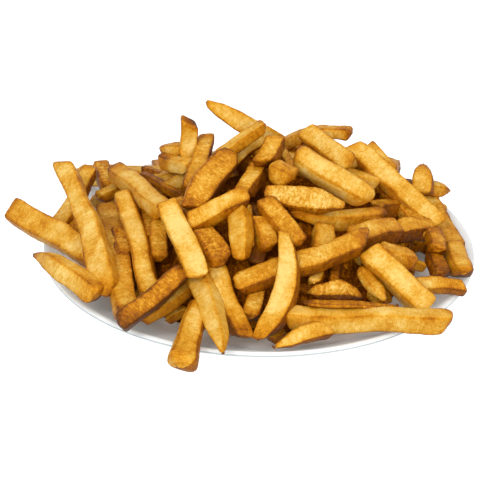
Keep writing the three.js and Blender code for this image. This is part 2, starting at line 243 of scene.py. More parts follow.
RIGHT_TOP = [
    Fry("bar", (28, 24, 78), (53, -5, 70), 11.5, 9.5, -35, look="gold", tips=(0.3, 0.7)),
    Fry("bar", (12, 33, 64), (55, 27, 77), 9, 7.5, 0, (0, 4), "tan", (0.3, 0.6)),
    Fry("round_ended", (20, -11, 79), (63, -30, 59), 14, 12, -32, look="gold", tips=(0.5, 0.5)),
    Fry("bar", (12, 4, 74), (20, -16, 70), 5.5, 5.5, look="orange"),
    Fry("bar", (9, -5, 84), (1, -22, 76), 12, 10.5, look="tan", tips=(0.5, 1)),
    Fry("round_ended", (6, -27, 76), (19, -33, 73), 12.5, 12, look="tan", tips=(0.3, 0.8)),
    Fry("lens", (3, -39, 67), (47, -43, 61), 13.5, 10, -35, look="blistered", tips=(1.2, 0.6)),
    Fry("spear", (17, -47, 58), (69, -29, 49), 10, 11, 0, (0, -3), "gold", (0.8, 1.6)),
    Fry("bar", (3, -45, 63), (22, -68, 50), 10.5, 9.5, -20, look="orange", tips=(0.6, 0.7)),
    Fry("blunt", (-1, -50, 55), (6, -69, 47), 10.5, 9.5, look="orange", tips=(0.5, 0.6)),
    Fry("bar", (-7, -36, 57), (3, -48, 52), 5.5, 5.5, look="dark"),
    Fry("taper", (-11, -52, 61), (-9, -80, 46), 11.5, 9, -38, look="pale", tips=(0.3, 0.9)),
    Fry("bar", (-7, -42, 60), (-4, -68, 47), 4.5, 4.5, look="tan"),
    Fry("bar", (35, -46, 49), (34, -64, 42), 11.5, 10, 20, look="tan"),
]

FRONT_MIDDLE = [
    Fry(
        "bar", (-11, -87, 34), (58, -65, 52), 12.5, 10.5, -20,
        look="tan", tips=(0.4, 0.8), cuts=((0, 0.3), (-0.7, 0.5)),
    ),
    Fry("horn", (13, -69, 58), (1, -117, 21), 11.5, 8.5, -8, (-8, 0), "pale", (0.6, 1.6)),
    Fry("bar", (1, -58, 43), (-1, -73, 39), 9, 9, look="dark"),
    Fry("bar", (1, -81, 30), (-4, -99, 22), 9.5, 8.5, 10, look="tan", tips=(0.3, 0.5)),
    Fry("bar", (6, -110, 17), (15, -104, 17), 6, 6, look="olive"),
    Fry(
        "bar", (-51, -49, 63), (-31, -93, 43), 12.5, 9.5, -15, (0, 0),
        "bright", (0.9, 0.4), ((0, 0.3), (-0.2, 0.7)),
    ),
    Fry("spear_end", (-33, -80, 37), (-16, -139, 27), 11.5, 9.5, -45, (-2, 0), "pale", (0.3, 1.4)),
    Fry("bar", (-26, -70, 40), (-7, -115, 21), 10, 8, 5, look="olive", tips=(0.3, 1.7)),
    Fry("blunt", (-32, -60, 51), (-19, -79, 43), 12.5, 10, look="crust", tips=(0.4, 0.7)),
    Fry("bar", (-56, -37, 46), (-54, -64, 36), 9.5, 9.5, look="tan"),
    Fry("bar", (-69, -121, 31), (-40, -85, 41), 10, 8.5, -38, look="leathery", tips=(1.2, 0.4)),
    Fry("bar", (-60, -104, 23), (-36, -83, 30), 6.5, 6.5, look="olive"),
    Fry("bar", (-48, -97, 18), (-37, -90, 20), 5, 5, look="olive"),
    Fry(
        "flared", (-30, -96, 29), (-36, -147, 24), 13, 10.5, 12, (0, 0),
        "gold", (0.9, 0.2), ((0, 0), (-0.1, 0.3)),
    ),
]

LEFT_SIDE = [
    Fry(
        "club", (-118, 5, 62), (-78, -90, 29), 13.5, 11.5, -40, (-2, 0),
        "gold", (0.5, 0.9), ((0.95, 0.2), (0, 0.3)),
    ),
    Fry("bar", (-148, -7, 36), (-88, -58, 32), 14.5, 9.5, -40, look="gold", tips=(0.6, 0.3)),
    Fry("bar", (-94, 2, 35), (-66, -109, 27), 13, 9, look="tan", tips=(0.5, 0.4)),
    Fry("spear", (-127, -49, 29), (-84, -91, 29), 11.5, 11, 20, (0, 4), "gold", (0.7, 0.8)),
    Fry("bar", (-107, 30, 47), (-122, -7, 24), 11, 9.5, look="gold"),
    Fry("bar", (-103, 45, 44), (-94, 20, 40), 9.5, 8.5, look="crust"),
    Fry("bar", (-80, 31, 42), (-99, 9, 38), 8.5, 8, look="gold"),
    Fry("bar", (-91, 24, 50), (-53, -42, 54), 11, 10, -10, look="pale", tips=(1.3, 0.3)),
    Fry("bar", (-75, 35, 47), (-43, 8, 48), 4.5, 4.5, look="brown"),
    Fry("bar", (-74, 20, 49), (-44, -10, 49), 6, 6, look="brown"),
    Fry("bar", (-81, -10, 49), (-55, -92, 29), 11.5, 10.5, -10, look="gold"),
    Fry("bar", (-84, 3, 35), (-76, -39, 27), 7.5, 7.5, look="tan"),
    Fry("bar", (-66, -14, 45), (-61, -46, 39), 8, 8, look="crust"),
]

LEFT_TOP = [
    Fry("pointed", (-33, 15, 99), (12, 13, 76), 8, 11, 20, look="pale", tips=(0.9, 0.2)),
    Fry("bar", (2, 0, 92), (-25, -11, 75), 9, 6.5, look="pale", tips=(0.8, 0.3)),
    Fry("bar", (-1, 11, 79), (-22, -10, 71), 12, 9.5, 40, look="olive", tips=(0.1, 0.2)),
    Fry("blunt", (-43, 10, 90), (-43, 6, 67), 10, 8.5, 0, (0, 0), "pale", (0.9, 0.2), ((0.55, -0.4), (0, 0))),
    Fry("leaf", (-61, 25, 64), (-42, 11, 71), 10.5, 8, look="gold", tips=(0.8, 0.3)),
    Fry("bar", (-60, 16, 62), (-41, -6, 67), 9.5, 8.5, look="pale", tips=(2.2, 0.3)),
    Fry("bar", (-33, 18, 75), (-40, -30, 63), 9, 8.5, look="tan"),
    Fry(
        "leaf", (-17, -13, 80), (-38, -49, 61), 17, 10.5, 28, (0, 0),
        "orange", (0.7, 0.9), ((0, 0.2), (0.6, 0.3)),
    ),
    Fry("bar", (-1, -17, 71), (-9, -37, 64), 10, 8.5, look="tan"),
    Fry("bar", (-7, -48, 69), (-39, -57, 55), 11, 9, 40, look="gold", tips=(0.9, 0.4)),
]

# Small pieces and deeper ones that show between the outer fries.
BETWEEN = [
    Fry("bar", (19, -82, 31), (44, -79, 28), 5, 5, look="brown"),
    Fry("bar", (77, -55, 30), (87, -57, 27), 5, 5, look="brown"),
    Fry("bar", (-79, -44, 33), (-69, -80, 26), 9, 8, look="brown"),
    Fry("bar", (-82, -30, 36), (-74, -52, 32), 8, 8, look="crust"),
    Fry("blunt", (-47, -34, 57), (-36, -50, 53), 8.5, 7.5, look="crust"),
    Fry("bar", (-14, 6, 67), (4, -6, 62), 9, 9, look="dark"),
]

PLACED = FRONT_RIGHT + RIGHT_SIDE + RIGHT_TOP + FRONT_MIDDLE + LEFT_SIDE + LEFT_TOP + BETWEEN

# Fries strewn by rule over the back slope, and inside the heap where gaps show them. angles are degrees
# round the mound's centre, lift is from the heap's surface, and looks are taken in turn.
Strewing = namedtuple("Strewing", "count seed angles radii lift lengths widths looks")
BACK = Strewing(
    26, 7, (-8, 188), (26, 104), (-7, -2), (44, 78), (10, 13),
    ("gold", "tan", "pale", "orange", "gold", "crust", "olive", "tan"),
)
BACK_UNDER = Strewing(34, 11, (-8, 188), (20, 100), (-12, -8), (40, 66), (9, 12), ("brown", "crust", "tan"))
INNER = Strewing(110, 19, (0, 360), (8, 96), (-13, -8), (34, 60), (8.5, 11), ("orange", "tan", "crust"))
GOLDEN_SHARE = 0.618034  # of a sector, from each strewn fry to the next, which spreads them evenly
SQUARENESS = 0.9  # a strewn fry's thickness as a share of its width
PLATE_CLEARANCE = 0.6  # from the plate to a strewn fry's ends, as a share of its thickness
GAP = 0.3  # least air from the food to the plate, and between fries laid under others
OVERLAP_STEPS = 8  # steps along a fry to the places where it is kept clear of others

CORE_DEPTH = 17.0  # the core lies this far below the heap's surface
CORE_RADIUS = 92.0
CORE_RINGS = (0.1, 0.3, 0.5, 0.7, 0.85, 1.0)
CORE_EDGE = 1.0  # least height of the core
CORE_LUMP = 2.5
CORE_WAVE = 14.0
CORE_SIDES = 96
CORE_CREASE = math.radians(60)
# Painted shade: the core is dark brown, as deeper fries look in the shade of the gaps.
CORE_SHADE_TONE = 0.8

# ---- Finishes ----

# The frying group's inputs, each with the setting that it takes.
BROWNING = {
    "Edge browning": "edge_browning",
    "Tip browning": "tip_browning",
    "Blotches": "blotches",
    "Mottle": "mottle",
    "Speckle": "speckle",
}
# Where the crust's colours stand on the scale of brownness.
BROWN_STOPS = {"palest": 0.0, "yellow": 0.2, "golden": 0.38, "tanned": 0.56, "browned": 0.76, "darkest": 1.0}
# Strengths in the frying group, first of what browns and then of what has height.
FURROW_LEVEL = 0.52
PLAIN_FURROWS = 0.5  # added to how blistered a fry is, so that a plain one has painted shade in its furrows too
PIMPLE_BROWNING = 0.7
PATCH_CONTRAST = 1.4
PATCH_SHIFT = -0.25
LEAST_PATCH = 0.2
TIP_LEVEL = 0.35
PLAIN_PIMPLES = 0.3
WRINKLE_HEIGHT = 0.6
MOTTLE_HEIGHT = 0.45
SPECK_HEIGHT = 0.5

FRY_ROUGHNESS = 0.38
FRY_GLOSS = 0.4
INNER_GLOSS = 0.05
CORE_ROUGHNESS = 0.8
CORE_GLOSS = 0.02
SHINE_SPREAD = 0.5  # how much the roughness varies over a fry

# ---- The stage, in metres ----

Softbox = namedtuple("Softbox", "place size colour")
SOFTBOXES = {
    "key": Softbox((-0.65, -0.95, 1.1), 0.35, (1, 0.98, 0.95)),
    "fill": Softbox((0.8, -0.75, 0.75), 1.0, (1, 0.95, 0.87)),
    "front": Softbox((0, -1.3, 0.45), 0.7, (1, 0.96, 0.9)),
    "top": Softbox((0.1, 0.3, 1.3), 0.9, (1, 0.97, 0.93)),
}
LIT_PLACE = (0.0, 0.0, 0.03)
FLOOR_DROP = 0.0002  # keeps the floor clear of the plate's base
FLOOR_GLOW = 0.7  # light that the floor gives off
FLOOR_GLOW_SEEN = 2.1  # and how brightly the camera sees it glow

CAMERA_PLACE = (0.0, -0.53193, 0.29758)
CAMERA_TARGET = (-0.00529, 0.0, 0.00913)
CAMERA_ROLL = math.radians(1.086)
CAMERA_LENS = 70.25  # millimetres


def srgb(red, green, blue):
    """A colour of 0 to 255 a channel, as the shader's linear values."""
    shares = np.array((red, green, blue)) / 255.0
    linear = np.where(shares <= 0.04045, shares / 12.92, ((shares + 0.055) / 1.055) ** 2.4)
    return (*linear.tolist(), 1.0)


# ---- Surfaces of the heap and the plate ----


def rim_share(radius):
    return max(0.0, (radius - WELL_RADIUS) / (PLATE_RADIUS - LIP_RADIUS - WELL_RADIUS))


def plate_top(radius):
    rise = PLATE_HEIGHT - FLOOR_THICKNESS
    return FLOOR_THICKNESS + rise * min(1.0, rim_share(radius)) ** RIM_CURVE


def plate_underside(radius):
    return (PLATE_HEIGHT - 2 * LIP_RADIUS) * rim_share(radius) ** RIM_CURVE


def mound_height(x, y):
    backwards = MOUND_RADIUS / MOUND_BACK_RADIUS if y > MOUND_CENTRE[1] else 1.0
    reach = math.hypot(x - MOUND_CENTRE[0], (y - MOUND_CENTRE[1]) * backwards) / MOUND_RADIUS
    fall = 0.5 * (1.0 + math.cos(math.pi * min(1.0, reach)))
    return MOUND_FOOT + MOUND_RISE * fall**MOUND_FULLNESS


def back_slope_height(x, y):
    aside = abs(x - RIDGE_X) / RIDGE_HALF_WIDTH
    return RIDGE_HEIGHT - RIDGE_DROP * aside**RIDGE_CURVE - BACK_SLOPE * y


def heap_height(x, y):
    return min(mound_height(x, y), back_slope_height(x, y))


# ---- Modelling ----


def deselect_all():
    if bpy.context.mode != "OBJECT":
        bpy.ops.object.mode_set(mode="OBJECT")
    bpy.ops.object.select_all(action="DESELECT")


def select_edges(obj, wanted):
    """Selects the edges whose two ends, as vectors, the rule takes."""
    mesh = bmesh.from_edit_mesh(obj.data)
    bpy.ops.mesh.select_all(action="DESELECT")
    for edge in mesh.edges:
        edge.select_set(wanted(edge.verts[0].co, edge.verts[1].co))
    mesh.select_flush_mode()
    bmesh.update_edit_mesh(obj.data)


def model_rod(name, cuts_along, cuts_across):
    """A rod of unit size along X, cut into an even grid on every side."""
    deselect_all()
    bpy.ops.mesh.primitive_cube_add(size=1.0)
    rod = bpy.context.object
    rod.name = name
    bpy.ops.object.mode_set(mode="EDIT")
    bpy.ops.mesh.select_mode(type="EDGE")
    for axis, cuts in enumerate((cuts_along, cuts_across, cuts_across)):
        select_edges(rod, lambda start, end: abs(start[axis] - end[axis]) > 0.5)
        bpy.ops.mesh.subdivide(number_cuts=cuts)
    bpy.ops.object.mode_set(mode="OBJECT")
    return rod


def ring_extruded(name, profile, sides):
    """A turned piece: a disc, extruded ring by ring along a profile of radius and height, then closed."""
    deselect_all()
    bpy.ops.mesh.primitive_circle_add(
        vertices=sides, radius=profile[0][0] * MM, fill_type="TRIFAN", location=(0, 0, profile[0][1] * MM)
    )
    piece = bpy.context.object
    piece.name = name
    bpy.ops.object.transform_apply(location=True, rotation=True, scale=True)
    bpy.ops.object.mode_set(mode="EDIT")
    bpy.ops.mesh.select_mode(type="EDGE")
    bpy.ops.mesh.select_all(action="SELECT")
    bpy.ops.mesh.region_to_loop()
    for (radius, height), (next_radius, next_height) in zip(profile, profile[1:]):
        growth = next_radius / radius
        bpy.ops.mesh.extrude_edges_move(
            TRANSFORM_OT_translate={"value": (0, 0, (next_height - height) * MM)}
        )
        bpy.ops.transform.resize(value=(growth, growth, 1.0), center_override=(0, 0, 0))
    bpy.ops.mesh.edge_face_add()
    bpy.ops.mesh.poke()
    bpy.ops.mesh.select_all(action="SELECT")
    bpy.ops.mesh.remove_doubles(threshold=MERGE_DISTANCE)
    bpy.ops.mesh.normals_make_consistent(inside=False)
    bpy.ops.object.mode_set(mode="OBJECT")
    return piece


def plate_profile():
    """The plate's section from its base, out under the rim, round the lip and back to the middle."""
    lip_x = PLATE_RADIUS - LIP_RADIUS
    lip_z = PLATE_HEIGHT - LIP_RADIUS
    radii = np.linspace(WELL_RADIUS, lip_x, RIM_RINGS)[1:-1]
    under = [(radius, plate_underside(radius)) for radius in radii]
    turns = np.radians(np.linspace(-90, 90, LIP_RINGS))
    lip = [(lip_x + LIP_RADIUS * math.cos(turn), lip_z + LIP_RADIUS * math.sin(turn)) for turn in turns]
    top = [(radius, plate_top(radius)) for radius in reversed(radii)]
    middle = [(WELL_RADIUS * share, FLOOR_THICKNESS) for share in WELL_RINGS]
    return [(WELL_RADIUS * FOOT_RING, 0.0), (WELL_RADIUS, 0.0), *under, *lip, *top, *middle]


def core_profile():
    """A flat disc a millimetre high. Its bottom and top are then lowered and raised to their places."""
    bottom = [(CORE_RADIUS * share, 0.0) for share in CORE_RINGS]
    top = [(radius, 1.0) for radius, _ in reversed(bottom)]
    return bottom + top


def smoothed(shares):
    shares = np.clip(shares, 0.0, 1.0)
    return shares * shares * (3.0 - 2.0 * shares)


def drawing(seed):
    """Gives a function that draws evenly between two numbers, the same ones each time for a seed."""
    state = seed

    def draw(least, most):
        nonlocal state
        state = (state * DRAW_FACTOR) % DRAW_PRIME
        return least + (most - least) * (state / DRAW_PRIME)

    return draw


def noises(points, scale, seed):
    """Smooth noise of -1 to 1 at each point, for points in millimetres and lumps of about scale."""
    shift = Vector([seed * step for step in NOISE_STEPS])
    return np.array([noise.noise(Vector(point) / scale + shift) for point in points])


def noises_along(distance, wave, seed, row):
    """Smooth noise that changes only along a fry. Each row is another noise."""
    spine = np.outer(distance, (1.0, 0.0, 0.0)) + (0.0, NOISE_ROW * row, 0.0)
    return noises(spine, wave, seed)


def crowded(side):
    return EDGE_CROWDING * np.sin(0.5 * math.pi * side) + (1.0 - EDGE_CROWDING) * side


def rod_grid(rod):
    """The rod's vertices: share along, and across and up from -1 to 1, drawn close together at the edges."""
    places = np.empty(len(rod.data.vertices) * 3)
    rod.data.vertices.foreach_get("co", places)
    along, across, up = (places.reshape(-1, 3) * 2.0).T
    share = 0.5 + 0.5 * along
    share = END_CROWDING * (0.5 - 0.5 * np.cos(math.pi * share)) + (1.0 - END_CROWDING) * share
    return share, crowded(across), crowded(up)


def fry_ways(fry, turned):
    """A fry's directions: along it, level across it, upright, and the two ways of its turned section."""
    along = (Vector(fry.end) - Vector(fry.start)).normalized()
    level = along.cross(Vector((0, 0, 1))).normalized()
    upright = level.cross(along)
    turn = Matrix.Rotation(-math.radians(fry.roll + turned), 3, along)
    return along, level, upright, turn @ level, turn @ upright


def width_share(kind, share):
    """The kind's width at each share of the length, with its corners smoothed away."""
    stations, sizes = zip(*KINDS[kind])
    even = np.linspace(-0.2, 1.2, 141)  # a station for each hundredth, and some past both ends
    softness = np.hanning(WIDTH_SOFTNESS)
    softened = np.convolve(np.interp(even, stations, sizes), softness / softness.sum(), "same")
    return np.interp(share, even, softened)


def fry_section(across, up, power, skew, taper, sink):
    """Bends an even square into a fry's section: worn edges, faces that sink, sides not quite square."""
    square = np.maximum(np.abs(across), np.abs(up))
    rounded = (np.abs(across) ** power + np.abs(up) ** power) ** (1.0 / power)
    inward = square / np.maximum(rounded, 1e-6)
    towards_edge = np.minimum(np.abs(across), np.abs(up))
    sunk = 1.0 - sink * (1.0 - towards_edge**2)
    return (across * (1.0 + taper * up) + skew * up) * inward * sunk, up * inward * sunk


def skin_bumps(local, crust, seed):
    """The lumps of the skin, and how far they, dents, wrinkles and blisters push it in and out."""
    lumps = noises(local, LUMPS.size, seed + LUMPS.seed_step)
    dents = noises(local, DENTS.size, seed + DENTS.seed_step)
    wrinkles = noises(local * WRINKLE_STRETCH, WRINKLES.size, seed + WRINKLES.seed_step)
    blisters = np.maximum(0.0, noises(local, BLISTERS.size, seed + BLISTERS.seed_step) - BLISTER_FLOOR)
    push = 0.0
    for bumps, heights in ((LUMPS, lumps), (DENTS, dents), (WRINKLES, wrinkles), (BLISTERS, blisters)):
        push = push + (bumps.push + bumps.crust_push * crust) * heights
    return lumps, push


def face_shade_and_tones(across, up, width_way, thickness_way, draw):
    """How much browner each face is: painted shade by the way it faces, and a little tone of its own."""
    beside = smoothed((np.abs(across) - np.abs(up)) / FACE_BLEND + 0.5)
    above = 1.0 - beside
    # Painted shade: faces that turn right and downwards, away from the light, are browner.
    tones = beside * np.sign(across) * PAINTED_SHADE_SIDE.dot(width_way)
    tones = tones + above * np.sign(up) * PAINTED_SHADE_SIDE.dot(thickness_way)
    one_side, other_side, top, bottom = (draw(*FACE_TONE) for _ in range(4))
    tones = tones + beside * np.where(across > 0, one_side, other_side)
    return tones + above * np.where(up > 0, top, bottom)


def tip_tones(strength, width, reach, towards_rim, lumps):
    """How browned the ends are: unevenly, and most of all round their rims."""
    rim = smoothed((towards_rim - RIM_FROM) / RIM_BREADTH)
    fading = np.exp(-reach / (TIP_REACH * width * np.maximum(1.0, strength)))
    uneven = TIP_EVENNESS + TIP_UNEVENNESS * lumps
    tones = strength * fading * uneven * (rim + (1.0 - rim) * strength)
    return np.clip(tones, 0.0, 1.0)


def lay_fry(rod, grid, fry, seed):
    """A copy of the rod, shaped into one fry and laid from its start to its end."""
    draw = drawing(FIRST_FRY_DRAW + FRY_DRAW_STEP * seed)
    edge_brownness = draw(*EDGE_BROWNNESS)
    tone, crust = LOOKS[fry.look]
    length = (Vector(fry.end) - Vector(fry.start)).length
    along, level, upright, width_way, thickness_way = fry_ways(fry, draw(*STRAY_ROLL))
    share, across, up = grid
    towards_edge = np.minimum(np.abs(across), np.abs(up))
    towards_rim = np.maximum(np.abs(across), np.abs(up))
    distance = share * length
    reach = np.minimum(distance, length - distance)
    at_start = share < 0.5

    # The width follows the kind, unevenly, and the edges are sharper in some places than in others.
    size = PLUMPNESS * width_share(fry.kind, share)
    size = size * (1.0 + UNEVENNESS * noises_along(distance, UNEVEN_WAVE, seed, 0))
    power = SOFT_EDGE_POWER if fry.kind in SOFT_EDGED_KINDS else draw(*EDGE_POWER)
    power = power * (1.0 + EDGE_UNEVENNESS * noises_along(distance, EDGE_WAVE, seed, 1))
    wide, thick = fry_section(across, up, power, draw(*SKEW), draw(*SECTION_TAPER), draw(*SINK))
    end_round = SOFT_END_ROUND if fry.kind in ROUND_ENDED_KINDS else draw(*END_ROUND)
    nearness = np.clip(reach / end_round, 0.0, 1.0)
    rounding = end_round * (1.0 - np.sqrt(1.0 - (1.0 - nearness) ** 2))
    wide = wide * (0.5 * fry.width * size - rounding)
    thick = thick * (0.5 * fry.thickness * size - rounding)

    # The cut ends slant, mostly under, and bulge a little.
    drawn = [(draw(*SIDE_SLANT), draw(*UNDER_SLANT)) for _ in fry.tips]
    side_slant, under_slant = np.where(at_start, *np.array(fry.cuts or drawn).reshape(2, 2, 1))
    outwards = np.where(at_start, -1.0, 1.0)
    bulge = END_BULGE * (1.0 - towards_rim**2)
    fade = np.clip(1.0 - reach / (SLANT_REACH * fry.width), 0.0, 1.0) ** 2
    slanted = distance + outwards * fade * (wide * side_slant + thick * under_slant + bulge)

    local = np.stack((slanted, wide, thick), axis=1)
    lumps, push = skin_bumps(local, crust, seed)
    push = push * min(1.0, fry.width / BUMPY_WIDTH) * np.clip(size, THIN_BUMPS, 1.0)
    out = np.maximum(np.hypot(wide, thick), 1e-3)
    wide, thick = wide + push * wide / out, thick + push * thick / out

    bend = 4.0 * share * (1.0 - share)
    bowed_level = bend * (fry.bow[0] + WANDER * noises_along(distance, WANDER_WAVE, seed, 2))
    bowed_up = bend * (fry.bow[1] + WANDER * noises_along(distance, WANDER_WAVE, seed, 3))
    twist = math.radians(draw(*TWIST)) * (share - 0.5)
    wide, thick = wide * np.cos(twist) - thick * np.sin(twist), wide * np.sin(twist) + thick * np.cos(twist)
    places = (
        np.array(fry.start)
        + np.outer(slanted, along)
        + np.outer(bowed_level, level)
        + np.outer(bowed_up, upright)
        + np.outer(wide, width_way)
        + np.outer(thick, thickness_way)
    )
    mesh = rod.data.copy()
    mesh.vertices.foreach_set("co", (places * MM).ravel())

    off_end = smoothed(reach / (EDGE_FADE * end_round))
    # Painted shade on the faces turned away from the light, with each face's own tone.
    faces = face_shade_and_tones(across, up, width_way, thickness_way, draw)
    rims = EDGE_TONE * towards_edge**2 * off_end + END_TONE * np.exp(-reach / END_TONE_REACH) + MIDDLE_TONE
    store_frying(
        mesh,
        (local + np.array(FIBRE_STEPS) * seed) * MM,
        edge=edge_brownness * smoothed((towards_edge - EDGE_FROM) / EDGE_BREADTH) * off_end,
        tip=tip_tones(np.where(at_start, *fry.tips), fry.width, reach, towards_rim, lumps),
        tone=tone + draw(*STRAY_TONE) + LUMP_TONE * lumps + np.maximum(faces, PALEST_FACE) + rims,
        crust=crust,
    )
    laid = bpy.data.objects.new("fry", mesh)
    bpy.context.collection.objects.link(laid)
    return laid


def store_frying(mesh, fibre, **amounts):
    """Stores what the frying group reads at each vertex: its place in the potato, and the amounts."""
    layer = mesh.attributes.new("fibre", "FLOAT_VECTOR", "POINT")
    layer.data.foreach_set("vector", fibre.ravel())
    for name, values in amounts.items():
        layer = mesh.attributes.new(name, "FLOAT", "POINT")
        layer.data.foreach_set("value", np.full(len(mesh.vertices), values))


def points_along(fry):
    shares = (step / OVERLAP_STEPS for step in range(OVERLAP_STEPS + 1))
    return np.array([Vector(fry.start).lerp(Vector(fry.end), share) for share in shares])


def sunk_below(fry, lying_over):
    """The fry, lowered until it is clear of all that lie over it, or None where the plate leaves no room."""
    under = points_along(fry)
    deepest = 0.0
    for other in lying_over:
        over = points_along(other)
        apart = np.hypot(*(under[:, None, :2] - over[None, :, :2]).transpose(2, 0, 1))
        overlap = under[:, None, 2] - over[None, :, 2] + 0.5 * (fry.thickness + other.thickness) + GAP
        crossing = overlap[apart < 0.5 * (fry.width + other.width)]
        deepest = max(deepest, crossing.max(initial=0.0))
    ends = [(x, y, z - deepest) for x, y, z in (fry.start, fry.end)]
    room = min(z - plate_top(math.hypot(x, y)) for x, y, z in ends)
    return fry._replace(start=ends[0], end=ends[1]) if room > 0.5 * fry.thickness else None


def strewn_below(strewing, lying_over):
    sunk = [sunk_below(fry, lying_over) for fry in strewn(strewing)]
    return [fry for fry in sunk if fry]


def strewn(strewing):
    """Fries strewn evenly over a ring sector of the heap, lying along its surface."""
    draw = drawing(strewing.seed)
    low, high = strewing.angles
    inner, outer = strewing.radii
    fries = []
    for index in range(strewing.count):
        angle = math.radians(low + (high - low) * ((index * GOLDEN_SHARE) % 1.0))
        reach = math.sqrt(inner**2 + (outer**2 - inner**2) * (index + 0.5) / strewing.count)
        x = MOUND_CENTRE[0] + reach * math.cos(angle)
        y = MOUND_CENTRE[1] + reach * math.sin(angle)
        heading = draw(0.0, math.pi)
        half = 0.5 * draw(*strewing.lengths)
        width = draw(*strewing.widths)
        thickness = width * SQUARENESS
        rise = draw(*strewing.lift)
        ends = []
        for step in (-half, half):
            end_x = x + step * math.cos(heading)
            end_y = y + step * math.sin(heading)
            lowest = plate_top(math.hypot(end_x, end_y)) + PLATE_CLEARANCE * thickness + GAP
            ends.append((end_x, end_y, max(lowest, heap_height(end_x, end_y) + rise)))
        look = strewing.looks[index % len(strewing.looks)]
        fries.append(Fry("bar", *ends, width, thickness, look=look))
    return fries


def join_pieces(pieces, name):
    deselect_all()
    for piece in pieces:
        piece.select_set(True)
    bpy.context.view_layer.objects.active = pieces[0]
    bpy.ops.object.join()
    joined = bpy.context.object
    joined.name = name
    joined.data.name = name
    bpy.ops.object.shade_smooth()
    return joined


def lay_fries(name, fries, first_seed, coarser=1, gloss=FRY_GLOSS):
    """One piece out of many fries. Long fries are cut from the finer rod."""
    settings = bpy.context.scene.fries_settings
    cuts_across = settings.cuts_across // coarser
    long_rod = model_rod(name + "_long_rod", settings.long_cuts // coarser, cuts_across)
    short_rod = model_rod(name + "_short_rod", settings.short_cuts // coarser, cuts_across)
    grids = {rod: rod_grid(rod) for rod in (long_rod, short_rod)}
    laid = []
    for index, fry in enumerate(fries):
        length = (Vector(fry.end) - Vector(fry.start)).length
        rod = long_rod if length > LONG_FRY else short_rod
        laid.append(lay_fry(rod, grids[rod], fry, first_seed + index))
    for rod in grids:
        bpy.data.objects.remove(rod, do_unlink=True)
    piece = join_pieces(laid, name)
    piece.data.materials.clear()
    piece.data.materials.append(fried_material(name + "_crust", settings, FRY_ROUGHNESS, gloss))
    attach(piece, "root")
    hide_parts("fries_heap")

# ---- Materials ----


def add_node(tree, kind, place, **settings):
    made = tree.nodes.new(kind)
    made.location = place
    for name, value in settings.items():
        setattr(made, name, value)
    return made


def mathed(tree, operation, first, second, place):
    """A Math node whose two inputs are numbers or sockets."""
    made = add_node(tree, "ShaderNodeMath", place, operation=operation)
    for socket, value in zip(made.inputs, (first, second)):
        if isinstance(value, (int, float)):
            socket.default_value = value
        else:
            tree.links.new(value, socket)
    return made.outputs[0]


def noised(tree, vector, place, scale, detail, roughness=0.5, distortion=0.0):
    made = add_node(tree, "ShaderNodeTexNoise", place)
    set_inputs(made, {"Scale": scale, "Detail": detail, "Roughness": roughness, "Distortion": distortion})
    tree.links.new(vector, made.inputs["Vector"])
    return made.outputs["Fac"]


def stretched(tree, vector, scale, place):
    made = add_node(tree, "ShaderNodeMapping", place)
    made.inputs["Scale"].default_value = scale
    tree.links.new(vector, made.inputs["Vector"])
    return made.outputs["Vector"]


def ramped(tree, factor, stops, place):
    made = add_node(tree, "ShaderNodeValToRGB", place)
    ramp = made.color_ramp
    while len(ramp.elements) < len(stops):
        ramp.elements.new(0.5)
    for element, (position, colour) in zip(ramp.elements, stops):
        element.position = position
        element.color = colour
    tree.links.new(factor, made.inputs["Fac"])
    return made.outputs["Color"]


def set_inputs(made, values):
    for name, value in values.items():
        made.inputs[name].default_value = value


def new_material(name):
    """A new material, its node tree and its shader."""
    material = bpy.data.materials.new(name)
    material.use_nodes = True
    return material, material.node_tree, material.node_tree.nodes["Principled BSDF"]


